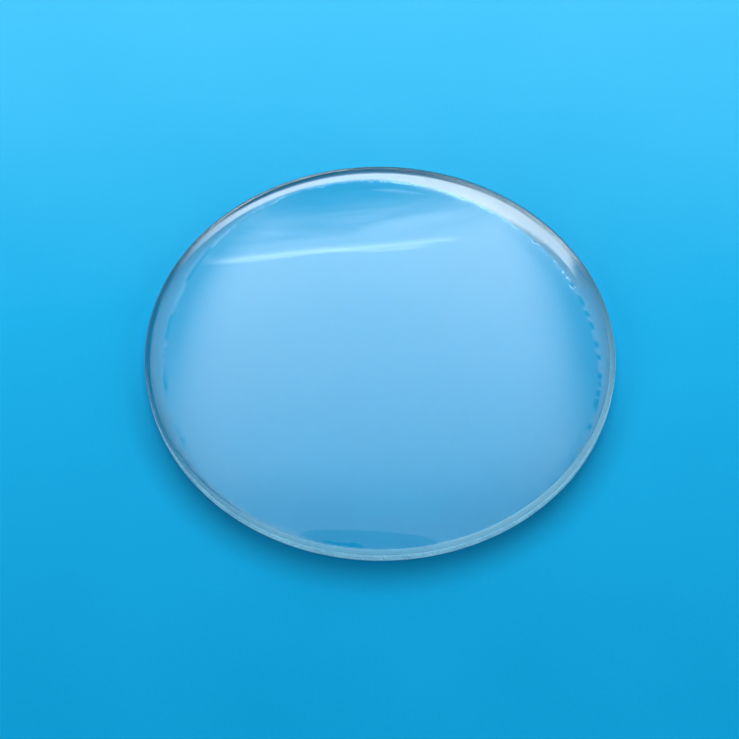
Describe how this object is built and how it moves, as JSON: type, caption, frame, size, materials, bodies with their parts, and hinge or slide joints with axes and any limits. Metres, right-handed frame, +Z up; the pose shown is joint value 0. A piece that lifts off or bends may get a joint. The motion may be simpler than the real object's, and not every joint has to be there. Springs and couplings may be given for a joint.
{
  "type": "watch glass",
  "caption": "Shallow round cap of clear laboratory glass with a ground edge, lying crown up on its flat ground rim.",
  "frame": {"origin": "centre of the flat ground ring that the glass stands on, at the rest plane", "axes": "+Z up, along the axis of revolution, towards the crown; X and Y are any two directions across the rim"},
  "size_m": [0.075, 0.075, 0.0079],
  "materials": {
    "clear_glass": "polished faces, fine ground edge, bevel and foot ring"
  },
  "bodies": {
    "root": {"watch_glass": "clear_glass"}
  },
  "joints": []
}
